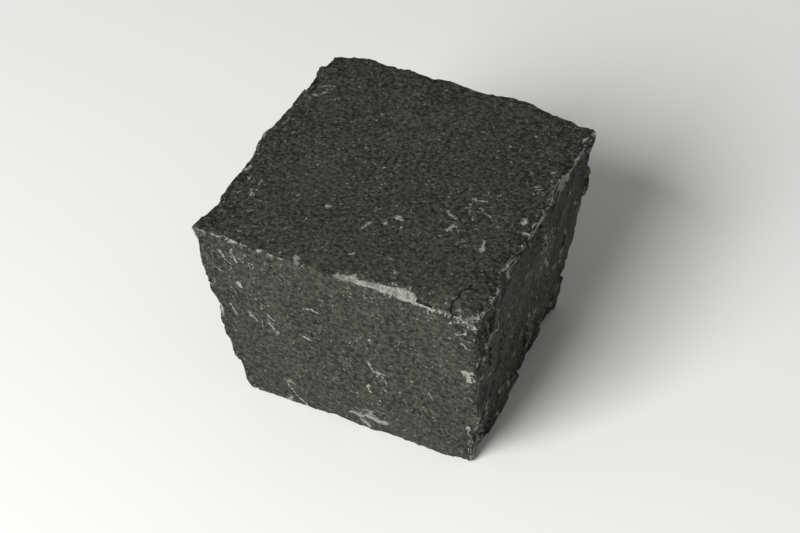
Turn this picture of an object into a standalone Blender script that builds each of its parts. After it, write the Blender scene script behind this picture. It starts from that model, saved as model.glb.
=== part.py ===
"""Basalt cobblestone: one split-faced paving sett, resting on its underside.

Metres, +Z up. The origin is the middle of the underside's level. The head (the face that is
walked on) is on top, the front face looks along -Y and the right-hand face along +X. The sides
taper from the head down to a smaller foot, and are bowed and scarred as hammer-split stone is.
"""

import math

import bmesh
import bpy
import numpy as np

# Overall size
HEAD_WIDTH = 0.1010
HEAD_DEPTH = 0.1058
HEIGHT = 0.0750
FOOT_WIDTH = 0.0832
FOOT_DEPTH = 0.0848

# How far each corner is off the plain tapered block: right, back and up
HEAD_CORNER_SHIFTS = {
    (-1, -1): (0.0022, 0.0010, 0.0000),
    (1, -1): (0.0016, -0.0026, -0.0004),
    (-1, 1): (-0.0012, 0.0004, 0.0000),
    (1, 1): (-0.0018, 0.0014, -0.0004),
}
FOOT_CORNER_SHIFTS = {
    (-1, -1): (0.0036, -0.0012, 0.0000),
    (1, -1): (0.0052, 0.0006, 0.0000),
    (-1, 1): (0.0010, 0.0000, 0.0000),
    (1, 1): (0.0004, 0.0000, 0.0000),
}

# Form of the faces
EDGE_RADIUS = 0.0013
SIDE_BOW = 0.0016
FOOT_SINK = 0.0022
SWELL_CELL = 0.034
SCALLOP_CELL = 0.023

# Unevenness of each face: swell and scallop heights, by outward direction
FACE_RELIEF = {
    "head": ((0, 0, 1), 0.0004, 0.0003),
    "front": ((0, -1, 0), 0.0008, 0.0006),
    "right": ((1, 0, 0), 0.0011, 0.0015),
    "back": ((0, 1, 0), 0.0012, 0.0016),
    "left": ((-1, 0, 0), 0.0010, 0.0014),
    "foot": ((0, 0, -1), 0.0004, 0.0004),
}

# Chips knocked off the edges: the edge's two ends as corners of the block, place along it
# from 0 to 1, length, depth, and lean from the middle towards the second of its faces
EDGE_CHIPS = (
    ("front head edge", (-1, -1, 1), (1, -1, 1), 0.62, 0.034, 0.0014, 0.10),
    ("right head edge, near", (1, -1, 1), (1, 1, 1), 0.10, 0.020, 0.0018, 0.15),
    ("right head edge, middle", (1, -1, 1), (1, 1, 1), 0.43, 0.024, 0.0022, 0.25),
    ("right head edge, far", (1, -1, 1), (1, 1, 1), 0.74, 0.018, 0.0014, 0.20),
    ("back head edge", (1, 1, 1), (-1, 1, 1), 0.45, 0.030, 0.0020, 0.20),
    ("left head edge", (-1, 1, 1), (-1, -1, 1), 0.30, 0.026, 0.0018, 0.20),
    ("left head edge, near", (-1, 1, 1), (-1, -1, 1), 0.86, 0.030, 0.0022, 0.10),
    ("front right upright", (1, -1, 1), (1, -1, -1), 0.24, 0.030, 0.0015, -0.30),
    ("front right upright, low", (1, -1, 1), (1, -1, -1), 0.88, 0.022, 0.0022, 0.20),
    ("back right upright", (1, 1, 1), (1, 1, -1), 0.55, 0.040, 0.0030, 0.00),
    ("back left upright", (-1, 1, 1), (-1, 1, -1), 0.50, 0.034, 0.0026, 0.00),
    ("front left upright", (-1, -1, 1), (-1, -1, -1), 0.70, 0.028, 0.0014, 0.10),
    ("front foot edge", (-1, -1, -1), (1, -1, -1), 0.20, 0.028, 0.0020, 0.20),
    ("right foot edge", (1, -1, -1), (1, 1, -1), 0.55, 0.040, 0.0030, 0.20),
    ("back foot edge", (1, 1, -1), (-1, 1, -1), 0.50, 0.044, 0.0030, 0.20),
    ("left foot edge", (-1, 1, -1), (-1, -1, -1), 0.40, 0.038, 0.0028, 0.20),
)

# Hollow scars on the faces and corners: a point on the block from -1 to 1, width and depth
FACE_SCARS = (
    ("front right corner of the head", (1.0, -1.0, 1.0), 0.021, 0.0036),
    ("back left corner of the head", (-1.0, 1.0, 1.0), 0.014, 0.0020),
    ("front right corner of the foot", (1.0, -1.0, -1.0), 0.012, 0.0016),
    ("right, upper", (1.0, -0.45, 0.55), 0.036, 0.0020),
    ("right, middle", (1.0, 0.10, 0.00), 0.044, 0.0022),
    ("right, far", (1.0, 0.62, 0.40), 0.034, 0.0018),
    ("right, low", (1.0, -0.30, -0.60), 0.038, 0.0024),
    ("back, left", (-0.45, 1.0, 0.30), 0.046, 0.0024),
    ("back, right", (0.50, 1.0, -0.10), 0.050, 0.0026),
    ("left, back", (-1.0, 0.50, 0.25), 0.044, 0.0022),
    ("left, low", (-1.0, -0.15, -0.45), 0.048, 0.0024),
    ("front, low", (0.45, -1.0, -0.35), 0.052, 0.0012),
)

# Mesh: cuts across each face, and how much closer they lie near the edges
FACE_CUTS = 19
EDGE_GATHER = 0.80

# How sharply a face's own direction and unevenness hold out towards its edges
DIRECTION_POWER = 9
RELIEF_POWER = 8

STONE_COLOUR = (0.045, 0.045, 0.040, 1.0)
STONE_ROUGHNESS = 0.85

SWELL_SEED = 11
SCALLOP_SEED = 29
HASH_FACTORS = (73856093, 19349663, 83492791)
HASH_MIX = 1274126177
HASH_SHIFT = 13
HASH_SPAN = 2**32


def clear_scene():
    """Removes every object from the scene."""
    for item in list(bpy.data.objects):
        bpy.data.objects.remove(item, do_unlink=True)


def basalt_material():
    """A dull, near-black grey stone."""
    material = bpy.data.materials.new("basalt")
    material.use_nodes = True
    shader = material.node_tree.nodes["Principled BSDF"]
    shader.inputs["Base Color"].default_value = STONE_COLOUR
    shader.inputs["Roughness"].default_value = STONE_ROUGHNESS
    shader.inputs["Metallic"].default_value = 0.0
    return material


def hashed(cells, seed):
    """A number from 0 to 1 for each whole-number cell, always the same for the same cell."""
    mixed = cells[:, 0] * HASH_FACTORS[0] ^ cells[:, 1] * HASH_FACTORS[1] ^ cells[:, 2] * HASH_FACTORS[2]
    mixed = (mixed + seed * HASH_MIX) % HASH_SPAN
    mixed = (mixed ^ (mixed >> HASH_SHIFT)) * HASH_MIX % HASH_SPAN
    mixed = (mixed ^ (mixed >> HASH_SHIFT)) * HASH_MIX % HASH_SPAN
    return mixed / HASH_SPAN


def swell(points, cell, seed):
    """Smooth waves from -1 to 1: hashed heights at the cells' corners, blended between them."""
    scaled = points / cell
    base = np.floor(scaled).astype(np.int64)
    part = scaled - base
    ease = part * part * (3.0 - 2.0 * part)
    total = np.zeros(len(points))
    for step in np.ndindex(2, 2, 2):
        side = np.array(step)
        weight = np.prod(np.where(side, ease, 1.0 - ease), axis=1)
        total += weight * hashed(base + side, seed)
    return 2.0 * total - 1.0


def scallops(points, cell, seed):
    """Shallow bowls meeting in ridges, from 0 on a ridge to -1 at a bowl's middle.

    Each cell holds one hashed seed point; the depth follows the squared distance to the nearest.
    """
    scaled = points / cell
    base = np.floor(scaled).astype(np.int64)
    nearest = np.full(len(points), np.inf)
    for step in np.ndindex(3, 3, 3):
        neighbour = base + np.array(step) - 1
        spot = np.stack([hashed(neighbour, seed + axis) for axis in range(3)], axis=1)
        gap = np.sum((neighbour + spot - scaled) ** 2, axis=1)
        nearest = np.minimum(nearest, gap)
    return np.minimum(nearest, 1.0) - 1.0


def block_corner(side):
    """The place of one corner of the tapered block, side being -1 or 1 along each axis."""
    on_head = side[2] > 0
    width, depth = (HEAD_WIDTH, HEAD_DEPTH) if on_head else (FOOT_WIDTH, FOOT_DEPTH)
    shifts = HEAD_CORNER_SHIFTS if on_head else FOOT_CORNER_SHIFTS
    plain = np.array([side[0] * width / 2, side[1] * depth / 2, HEIGHT if on_head else 0.0])
    return plain + np.array(shifts[(side[0], side[1])])


def on_block(spots):
    """Places in the tapered block for spots from -1 to 1 each way, blended from its corners.

    The sides bow outwards between head and foot, most at mid height.
    """
    place = np.zeros_like(spots)
    for step in np.ndindex(2, 2, 2):
        side = tuple(int(2 * part - 1) for part in step)
        weight = np.prod((1.0 + spots * np.array(side)) / 2.0, axis=1)
        place += weight[:, None] * block_corner(side)
    bow = SIDE_BOW * (1.0 - spots[:, 2] ** 2)
    place[:, 0] += bow * spots[:, 0]
    place[:, 1] += bow * spots[:, 1]
    return place


def outward(spots):
    """Unit directions out of the block, square to each face and turning round its edges."""
    steep = spots**DIRECTION_POWER
    return steep / np.linalg.norm(steep, axis=1)[:, None]


def rounded(spots):
    """Spots on the cube with its edges rounded: drawn in to an inner cube, then out by the radius."""
    half = np.array([HEAD_WIDTH, HEAD_DEPTH, HEIGHT]) / 2
    surface = spots * half
    core = np.clip(surface, EDGE_RADIUS - half, half - EDGE_RADIUS)
    arm = surface - core
    return (core + EDGE_RADIUS * arm / np.linalg.norm(arm, axis=1)[:, None]) / half


def face_relief(spots, places):
    """How far each point stands out of its face: swells, less the scallops' bowls."""
    wave = swell(places, SWELL_CELL, SWELL_SEED)
    bowl = scallops(places, SCALLOP_CELL, SCALLOP_SEED)
    height = np.zeros(len(spots))
    for facing, swell_height, scallop_height in FACE_RELIEF.values():
        share = np.clip(spots @ np.array(facing, dtype=float), 0.0, 1.0) ** RELIEF_POWER
        height += share * (swell_height * wave + scallop_height * bowl)
    return height


def scar(places, middle, direction, width, depth):
    """Hollows the points inside a ball down to its skin.

    The ball comes in along the direction, and cuts a bowl of the given width and depth.
    """
    radius = (width**2 / 4 + depth**2) / (2 * depth)
    centre = middle + direction * (radius - depth)
    arm = places - centre
    reach = np.linalg.norm(arm, axis=1)
    inside = reach < radius
    places[inside] = centre + arm[inside] * (radius / reach[inside])[:, None]


def chip_edges(places):
    """Knocks the listed chips off the edges."""
    for _name, start, end, along, length, depth, lean in EDGE_CHIPS:
        start_side = np.array(start, dtype=float)
        end_side = np.array(end, dtype=float)
        spot = start_side + (end_side - start_side) * along
        faces = (start_side == end_side).nonzero()[0]
        direction = np.zeros(3)
        direction[faces[0]] = start_side[faces[0]] * (1.0 + lean)
        direction[faces[1]] = start_side[faces[1]] * (1.0 - lean)
        direction /= np.linalg.norm(direction)
        scar(places, on_block(spot[None, :])[0], direction, length, depth)


def scar_faces(places):
    """Hollows the listed scars into the faces."""
    for _name, spot, width, depth in FACE_SCARS:
        point = np.array(spot)[None, :]
        scar(places, on_block(point)[0], outward(point)[0], width, depth)


def shape_stone(mesh):
    """Moves a finely cut cube's vertices from -1..1 onto the stone."""
    spots = np.array([vert.co[:] for vert in mesh.verts], dtype=float)
    spots = (1.0 - EDGE_GATHER) * spots + EDGE_GATHER * np.sin(spots * math.pi / 2)
    spots = rounded(spots)
    places = on_block(spots)
    places += outward(spots) * face_relief(spots, places)[:, None]
    scar_faces(places)
    chip_edges(places)
    places[:, 2] = np.maximum(places[:, 2] - FOOT_SINK, 0.0)
    places[:, 2] *= HEIGHT / places[:, 2].max()
    places[:, :2] -= (places[:, :2].max(axis=0) + places[:, :2].min(axis=0)) / 2
    for vert, place in zip(mesh.verts, places):
        vert.co = place


def build_cobblestone(collection):
    """One solid: a cube, cut evenly across each face and worked into the stone."""
    mesh = bmesh.new()
    bmesh.ops.create_cube(mesh, size=2.0)
    bmesh.ops.subdivide_edges(mesh, edges=mesh.edges[:], cuts=FACE_CUTS, use_grid_fill=True)
    shape_stone(mesh)
    bmesh.ops.triangulate(mesh, faces=mesh.faces[:])
    data = bpy.data.meshes.new("cobblestone")
    mesh.to_mesh(data)
    mesh.free()
    data.materials.append(basalt_material())
    stone = bpy.data.objects.new("cobblestone", data)
    collection.objects.link(stone)
    return stone


def main():
    clear_scene()
    collection = bpy.data.collections.new("basalt_cobblestone")
    bpy.context.scene.collection.children.link(collection)
    build_cobblestone(collection)


main()
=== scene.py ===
"""Basalt cobblestone: the finished stone and the stage it is shown on.

One hammer-split basalt sett. Its skin is six grids of points, one for each side of a cube, worked
into the stone as whole arrays: tapered, bowed, roughened, scarred and chipped. The stone takes its
size and place from the loaded frame.
"""

import math

import bpy
import numpy as np
from bpy.props import FloatProperty, FloatVectorProperty, PointerProperty
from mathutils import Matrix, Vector


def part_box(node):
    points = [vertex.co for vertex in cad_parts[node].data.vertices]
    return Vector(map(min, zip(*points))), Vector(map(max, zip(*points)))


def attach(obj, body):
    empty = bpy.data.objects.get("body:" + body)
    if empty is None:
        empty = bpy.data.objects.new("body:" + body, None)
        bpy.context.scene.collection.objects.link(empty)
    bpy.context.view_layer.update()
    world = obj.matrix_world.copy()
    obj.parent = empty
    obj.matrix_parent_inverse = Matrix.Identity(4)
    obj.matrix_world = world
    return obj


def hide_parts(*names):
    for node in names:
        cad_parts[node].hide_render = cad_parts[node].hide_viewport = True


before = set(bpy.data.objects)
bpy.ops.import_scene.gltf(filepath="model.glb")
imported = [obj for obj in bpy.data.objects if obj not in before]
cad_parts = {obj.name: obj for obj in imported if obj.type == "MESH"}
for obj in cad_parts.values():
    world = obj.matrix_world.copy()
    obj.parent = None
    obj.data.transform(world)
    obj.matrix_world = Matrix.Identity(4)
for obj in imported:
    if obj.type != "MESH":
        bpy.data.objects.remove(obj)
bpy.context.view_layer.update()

bl_info = {
    "name": "Basalt Cobblestone",
    "version": (1, 0, 0),
    "blender": (4, 5, 0),
    "location": "3D View > Sidebar > Cobblestone",
    "description": "Makes a hammer-split basalt sett and a plain stage for it",
    "category": "Add Mesh",
}

NODE = "cobblestone"
STONE_LOW, STONE_HIGH = (np.array(corner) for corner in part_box(NODE))
STONE_SIZE = STONE_HIGH - STONE_LOW
STONE_MIDDLE = (STONE_HIGH + STONE_LOW) / 2

# How far each corner of the block is off the plain taper, in metres: right, back and up
HEAD_CORNER_SHIFTS = {
    (-1, -1): (0.0022, 0.0010, 0.0000),
    (1, -1): (0.0016, -0.0026, -0.0004),
    (-1, 1): (-0.0012, 0.0004, 0.0000),
    (1, 1): (-0.0018, 0.0014, -0.0004),
}
FOOT_CORNER_SHIFTS = {
    (-1, -1): (0.0036, -0.0012, 0.0000),
    (1, -1): (0.0052, 0.0006, 0.0000),
    (-1, 1): (0.0010, 0.0000, 0.0000),
    (1, 1): (0.0004, 0.0000, 0.0000),
}

# Unevenness of each face: its outward direction, then the heights in metres of its swells,
# its bowls, its plates and its grit
FACE_RELIEF = {
    "head": ((0, 0, 1), 0.0004, 0.0003, 0.00006, 0.00006),
    "front": ((0, -1, 0), 0.0008, 0.0006, 0.00012, 0.00010),
    "right": ((1, 0, 0), 0.0011, 0.0015, 0.00085, 0.00034),
    "back": ((0, 1, 0), 0.0012, 0.0016, 0.00080, 0.00034),
    "left": ((-1, 0, 0), 0.0010, 0.0014, 0.00080, 0.00034),
    "foot": ((0, 0, -1), 0.0004, 0.0004, 0.00030, 0.00015),
}

# The block's edges, each by its two ends: right, back and up, from -1 to 1
EDGES = {
    "front head": ((-1, -1, 1), (1, -1, 1)),
    "right head": ((1, -1, 1), (1, 1, 1)),
    "back head": ((1, 1, 1), (-1, 1, 1)),
    "left head": ((-1, 1, 1), (-1, -1, 1)),
    "front right upright": ((1, -1, 1), (1, -1, -1)),
    "back right upright": ((1, 1, 1), (1, 1, -1)),
    "back left upright": ((-1, 1, 1), (-1, 1, -1)),
    "front left upright": ((-1, -1, 1), (-1, -1, -1)),
    "front foot": ((-1, -1, -1), (1, -1, -1)),
    "right foot": ((1, -1, -1), (1, 1, -1)),
    "back foot": ((1, 1, -1), (-1, 1, -1)),
    "left foot": ((-1, 1, -1), (-1, -1, -1)),
}

# Chips knocked off the edges: the edge, which chip it is, its place along the edge from 0 to 1,
# its length and depth in metres, its lean from the middle, and how pale its crushed skin is. A
# lean above 0 is towards the first of the edge's two faces, where left and right come before
# front and back, and those before head and foot. The deep ones are measured in from the block's
# own edge
EDGE_CHIPS = (
    ("front head", "broad", 0.62, 0.034, 0.0014, 0.10, 0.5),
    ("right head", "near", 0.10, 0.020, 0.0018, 0.15, 0.2),
    ("right head", "middle", 0.43, 0.024, 0.0022, 0.25, 0.1),
    ("right head", "far", 0.72, 0.018, 0.0016, 0.20, 0.6),
    ("back head", "broad", 0.45, 0.030, 0.0020, 0.20, 0.2),
    ("left head", "far", 0.30, 0.026, 0.0018, 0.20, 0.2),
    ("left head", "near", 0.86, 0.030, 0.0022, 0.10, 0.1),
    ("front right upright", "upper", 0.24, 0.030, 0.0015, -0.30, 0.1),
    ("front right upright", "low", 0.88, 0.018, 0.0014, 0.60, 0.0),
    ("back right upright", "broad", 0.55, 0.040, 0.0030, 0.00, 0.1),
    ("back left upright", "broad", 0.50, 0.034, 0.0026, 0.00, 0.1),
    ("front left upright", "lower", 0.70, 0.028, 0.0014, 0.10, 0.0),
    ("front foot", "left", 0.20, 0.028, 0.0020, 0.20, 0.0),
    ("right foot", "broad", 0.55, 0.040, 0.0030, 0.20, 0.0),
    ("back foot", "broad", 0.50, 0.044, 0.0030, 0.20, 0.0),
    ("left foot", "broad", 0.40, 0.038, 0.0028, 0.20, 0.0),
)

# Later chips, measured in from the skin as the deep ones left it
SKIN_CHIPS = (
    ("front head", "lowered by the corner", 0.84, 0.034, 0.0019, -0.60, 0.0),
    ("front head", "crushed", 0.655, 0.029, 0.0022, 0.10, 1.0),
    ("front head", "crushed deepest", 0.72, 0.014, 0.0013, 0.00, 1.0),
    ("front head", "start of the crush", 0.57, 0.010, 0.0008, -0.20, 0.9),
    ("front head", "end of the crush", 0.78, 0.012, 0.0009, 0.30, 0.9),
    ("front head", "by the crack", 0.84, 0.008, 0.0005, 0.50, 0.6),
    ("front right upright", "under the corner", 0.14, 0.012, 0.0016, 0.30, 0.3),
    ("front right upright", "notch", 0.29, 0.006, 0.0013, 0.40, 0.5),
    ("front right upright", "middle", 0.40, 0.012, 0.0009, 0.50, 0.1),
    ("front left upright", "pale nick", 0.48, 0.008, 0.0015, -0.40, 1.0),
    ("right head", "first bite", 0.24, 0.008, 0.0012, 0.00, 0.5),
    ("right head", "second bite", 0.34, 0.009, 0.0010, 0.20, 0.2),
    ("right head", "pale bite", 0.70, 0.010, 0.0014, 0.30, 1.0),
)

# Hollow scars on faces and corners: a point on the block from -1 to 1, width, depth, paleness
FACE_SCARS = (
    ("front right corner of the head", (1.0, -1.0, 1.0), 0.021, 0.0036, 0.1),
    ("back left corner of the head", (-1.0, 1.0, 1.0), 0.014, 0.0020, 0.1),
    ("front right corner of the foot", (1.0, -1.0, -1.0), 0.012, 0.0016, 0.0),
    ("right, upper", (1.0, -0.45, 0.55), 0.036, 0.0020, 0.0),
    ("right, middle", (1.0, 0.10, 0.00), 0.044, 0.0022, 0.0),
    ("right, far", (1.0, 0.62, 0.40), 0.034, 0.0018, 0.0),
    ("right, low", (1.0, -0.30, -0.60), 0.038, 0.0024, 0.0),
    ("back, left", (-0.45, 1.0, 0.30), 0.046, 0.0024, 0.0),
    ("back, right", (0.50, 1.0, -0.10), 0.050, 0.0026, 0.0),
    ("left, back", (-1.0, 0.50, 0.25), 0.044, 0.0022, 0.0),
    ("left, low", (-1.0, -0.15, -0.45), 0.048, 0.0024, 0.0),
    ("front, low", (0.45, -1.0, -0.35), 0.052, 0.0012, 0.0),
)

# Later scars, measured in from the skin
SKIN_SCARS = (
    ("front, under the head corner", (0.86, -1.0, 0.80), 0.013, 0.0009, 0.0),
    ("right, under the head corner", (1.0, -0.74, 0.72), 0.011, 0.0026, 0.0),
    ("right, by the head edge", (1.0, -0.50, 0.84), 0.010, 0.0012, 0.0),
    ("right, by the upright", (1.0, -0.88, 0.40), 0.011, 0.0014, 0.0),
    ("right, middle of the upright", (1.0, -0.80, 0.00), 0.012, 0.0010, 0.0),
    ("right, foot corner", (1.0, -0.80, -0.50), 0.012, 0.0018, 0.0),
    ("right, low middle", (1.0, -0.30, -0.25), 0.016, 0.0012, 0.0),
    ("right, upper far", (1.0, 0.32, 0.66), 0.014, 0.0014, 0.0),
    ("right, far low", (1.0, 0.55, -0.30), 0.018, 0.0016, 0.0),
    ("left, upper", (-1.0, 0.10, 0.55), 0.016, 0.0014, 0.0),
    ("left, near the front", (-1.0, -0.60, 0.10), 0.014, 0.0012, 0.0),
    ("left, far low", (-1.0, 0.50, -0.50), 0.018, 0.0016, 0.0),
    ("back, upper right", (-0.50, 1.0, 0.65), 0.014, 0.0014, 0.0),
    ("back, middle", (0.05, 1.0, 0.10), 0.018, 0.0016, 0.0),
    ("back, low", (-0.40, 1.0, -0.50), 0.016, 0.0014, 0.0),
)

# Every corner is knocked blunt: width and depth of the scar
CORNER_SCAR = (0.0050, 0.0010)

# Edges worn pale: the edge, which part of it, the stretch of it from 0 to 1, and how worn it is
WORN_EDGES = (
    ("front head", "left", (0.03, 0.33), 1.0),
    ("front head", "by the corner", (0.76, 1.00), 0.8),
    ("front right upright", "whole", (0.00, 1.00), 1.4),
    ("right head", "whole", (0.00, 1.00), 1.1),
    ("front left upright", "upper", (0.10, 0.70), 0.7),
    ("left head", "near", (0.40, 0.95), 0.4),
    ("back head", "right", (0.00, 0.50), 0.8),
    ("back right upright", "middle", (0.30, 0.80), 0.6),
    ("back left upright", "upper", (0.10, 0.60), 0.6),
)
# How far wear reaches from an edge, on the block, and over what share of the edge its ends fade
WORN_REACH = 0.08

# Each face's across and up directions
FACE_AXES = {
    "head": ((1, 0, 0), (0, 1, 0)),
    "front": ((1, 0, 0), (0, 0, 1)),
    "right": ((0, 1, 0), (0, 0, 1)),
    "back": ((-1, 0, 0), (0, 0, 1)),
    "left": ((0, -1, 0), (0, 0, 1)),
}

# Bruised patches, where something struck the stone, by face: the patch's middle across and up
# the face from -1 to 1, its reach across and up in metres, and its strength
BRUISES = {
    "front": (
        ("upper left", (-0.70, 0.70), (0.014, 0.012), 0.50),
        ("left", (-0.65, 0.10), (0.012, 0.005), 0.35),
        ("round the loop", (0.25, -0.15), (0.007, 0.007), 0.50),
        ("by the foot", (0.15, -0.75), (0.010, 0.004), 0.60),
        ("under the crushed edge", (0.35, 0.90), (0.014, 0.005), 0.60),
        ("under the head corner", (0.80, 0.75), (0.010, 0.010), 0.60),
    ),
    "head": (
        ("over the crushed edge", (0.30, -0.95), (0.015, 0.003), 0.70),
        ("front left", (-0.80, -0.55), (0.011, 0.012), 0.55),
        ("back left", (-0.85, 0.55), (0.006, 0.005), 0.40),
        ("middle", (0.10, -0.35), (0.012, 0.006), 0.40),
        ("right", (0.60, -0.10), (0.013, 0.016), 0.55),
        ("right edge", (0.90, 0.35), (0.005, 0.010), 0.70),
        ("front right corner", (0.90, -0.90), (0.006, 0.006), 0.75),
    ),
    "right": (
        ("upper middle", (0.20, 0.45), (0.008, 0.014), 0.60),
        ("under the head corner", (-0.70, 0.60), (0.008, 0.009), 0.60),
        ("foot corner", (-0.80, -0.75), (0.008, 0.009), 0.65),
        ("low middle", (0.10, -0.30), (0.012, 0.010), 0.50),
    ),
    "left": (
        ("middle", (-0.20, 0.30), (0.016, 0.012), 0.55),
        ("near the foot", (0.50, -0.50), (0.012, 0.009), 0.55),
    ),
    "back": (
        ("left", (0.40, 0.40), (0.016, 0.012), 0.60),
        ("low right", (-0.55, -0.50), (0.012, 0.010), 0.55),
    ),
}
# How far a bruised patch reaches through its face
BRUISE_THICKNESS = 0.020

# The plainest scratches and nicks, by face: the mark's middle across and up the face from -1 to
# 1, its turn in degrees from the across direction, its length and width in metres, and its
# strength. A strength of -1 makes a crack
MARKS = {
    "front": (
        ("dash, upper left", (-0.80, 0.80), -50, 0.0035, 0.0007, 0.75),
        ("dash right of it", (-0.70, 0.80), -50, 0.0030, 0.0008, 0.85),
        ("nick under them", (-0.70, 0.50), 0, 0.0010, 0.0014, 1.00),
        ("scratch, left", (-0.80, 0.15), -45, 0.0035, 0.0007, 0.85),
        ("scratch, right of it", (-0.65, 0.15), -55, 0.0040, 0.0008, 0.90),
        ("longer scratch", (-0.50, 0.10), -45, 0.0045, 0.0008, 0.85),
        ("hair, left of the middle", (-0.20, 0.45), -5, 0.0050, 0.0006, 0.80),
        ("nick at mid height", (-0.25, 0.10), -30, 0.0020, 0.0010, 0.95),
        ("loop, upper side", (0.20, -0.05), -45, 0.0040, 0.0007, 0.65),
        ("loop, lower side", (0.30, -0.15), -70, 0.0035, 0.0007, 0.70),
        ("foot bruise", (0.20, -0.75), -10, 0.0070, 0.0018, 1.00),
        ("foot bruise, tail", (0.05, -0.75), 0, 0.0060, 0.0012, 1.00),
        ("foot bruise, twig up", (0.15, -0.65), -35, 0.0045, 0.0008, 0.75),
        ("foot bruise, twig down", (0.10, -0.85), -45, 0.0045, 0.0010, 0.90),
        ("nick by the foot", (-0.55, -0.90), 70, 0.0040, 0.0009, 0.80),
        ("bent nick by the foot", (-0.45, -0.90), -80, 0.0050, 0.0009, 0.85),
        ("nick by the upright, across", (0.90, 0.30), 5, 0.0035, 0.0012, 1.00),
        ("nick by the upright, down", (0.90, 0.25), -75, 0.0035, 0.0011, 1.00),
        ("curl under the corner", (0.85, 0.75), 20, 0.0035, 0.0006, 0.60),
        ("broken edge by the corner", (0.60, 0.95), -10, 0.0110, 0.0009, 0.60),
        ("broken edge at the corner", (0.85, 0.90), -20, 0.0080, 0.0009, 0.60),
    ),
    "head": (
        ("tuft on the front edge", (-0.25, -0.95), -60, 0.0020, 0.0016, 0.60),
        ("dash, back left", (-0.85, 0.50), 40, 0.0050, 0.0008, 0.70),
        ("nick, left edge", (-0.95, -0.35), 60, 0.0020, 0.0012, 0.90),
        ("dash, front left", (-0.80, -0.55), -30, 0.0025, 0.0009, 0.60),
        ("nick left of the middle", (-0.30, -0.45), -20, 0.0012, 0.0011, 0.85),
        ("dash in the middle", (0.00, -0.50), 65, 0.0035, 0.0010, 0.65),
        ("nick in the middle", (0.15, -0.35), -40, 0.0010, 0.0012, 0.90),
        ("bow, back", (0.45, -0.20), -35, 0.0035, 0.0009, 0.60),
        ("bow, front", (0.50, -0.30), 80, 0.0035, 0.0010, 0.70),
        ("dash at the right", (0.75, -0.35), 95, 0.0050, 0.0009, 0.90),
        ("nick by the right edge", (0.90, -0.05), 90, 0.0020, 0.0012, 1.00),
        ("nick on the right edge", (0.95, -0.15), 0, 0.0015, 0.0010, 1.00),
        ("crack by the crushed edge", (0.60, -0.95), -10, 0.0050, 0.0008, -1.00),
    ),
    "right": (
        ("nick under the head edge", (-0.45, 0.90), -85, 0.0025, 0.0012, 0.90),
        ("line, upper middle", (0.15, 0.60), -70, 0.0065, 0.0008, 0.80),
        ("line under it", (0.25, 0.25), -65, 0.0065, 0.0009, 0.75),
        ("flake's edge", (-0.70, 0.55), -30, 0.0100, 0.0009, 0.80),
        ("foot corner, upper", (-0.85, -0.70), -35, 0.0080, 0.0009, 0.85),
        ("foot corner, lower", (-0.80, -0.90), 0, 0.0070, 0.0009, 0.85),
    ),
}

# More marks are drawn, most of them in the bruised patches and the rest loose on the face. Each
# face has so many, and they lie about this turn in degrees
DRAWN_MARKS = {
    "front": (16, -50),
    "head": (14, 60),
    "right": (22, -65),
    "back": (26, -65),
    "left": (24, -65),
}
DRAWN_TURN_SPREAD = 30
DRAWN_LENGTHS = (0.0008, 0.0055)
DRAWN_WIDTHS = (0.0006, 0.0009)
DRAWN_STRENGTHS = (0.40, 0.95)
DRAWN_LOOSE = 0.25
DRAWN_SPAN = 0.95
DRAWN_LIMIT = 0.97
DRAWN_SEED = 97

# Past this distance from its line a scratch or a crack leaves nothing. Each point keeps how it
# lies by its nearest one, under these names
SCRATCH_REACH = 0.0030
SCRATCH_VALUES = ("scratch_along", "scratch_across", "scratch_half", "scratch_width", "scratch_force")

# A cut this deep is crushed as pale as it gets
CRUSH_DEPTH = 0.0008

# The hairline crack round the loose flake: an arc on the head, its middle across and up it, its
# radius, the angles in degrees where it starts and ends, and the straight steps it is cut into
CRACK_ARC = ((1.06, -0.83), 0.0147, 148, 214, 6)
# Its dark line's width, and the reach and depth of the groove under it
CRACK_WIDTH = 0.0006
CRACK_REACH = 0.0008
CRACK_DEPTH = 0.0004

# A loose flake that has sunk a little: its middle on the block, its reach and how far it sank
FLAKE = ((0.98, -0.94, 1.0), 0.0095, 0.0005)
# The width of its steep rim
FLAKE_RIM = 0.0006

# Small chips along every edge: shortest and longest, shallowest and deepest, how deep they may be
# for their length, how far they keep from the corners, and the step from one to the next as a
# share of its length
SMALL_CHIP_LENGTHS = (0.0016, 0.0060)
SMALL_CHIP_DEPTHS = (0.00015, 0.00075)
SMALL_CHIP_STEEPEST = 0.35
SMALL_CHIP_CLEAR = 0.0030
SMALL_CHIP_STEP = 0.6
SMALL_CHIP_CHANCE = 0.85
SMALL_CHIP_LEAN = 0.45
SMALL_CHIP_SEED = 5

# The plates are drawn out upwards, as flakes struck off from above are
PLATE_STRETCH = np.array((1.0, 1.0, 0.50))
PLATE_TILT = 0.9
# Steps from a plate pattern's seed to the seeds of its levels and of its slopes
LEVEL_SEED_STEP = 3
SLOPE_SEED_STEP = 4

# An edge's furthest point is looked for this far round it and along it, on the block
RIM_ROUND = 0.20
RIM_ALONG = 0.03

SWELL_SEED = 11
SCALLOP_SEED = 29
PLATE_SEED = 47
GRIT_SEED = 71
HASH_FACTORS = (73856093, 19349663, 83492791)
HASH_MIX = 1274126177
HASH_SHIFT = 13
HASH_SPAN = 2**32

# Keeps a division away from zero
TINY = 1e-9

# The flat map: its name, its patches across and up, and the margin round each as a share of it
MAP_NAME = "OFBake"
MAP_PATCHES = (3, 2)
PATCH_MARGIN = 0.01

# How sharply a face's own direction and unevenness hold out towards its edges. The first is odd,
# so that a direction keeps its sign
DIRECTION_POWER = 9
RELIEF_POWER = 8

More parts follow.
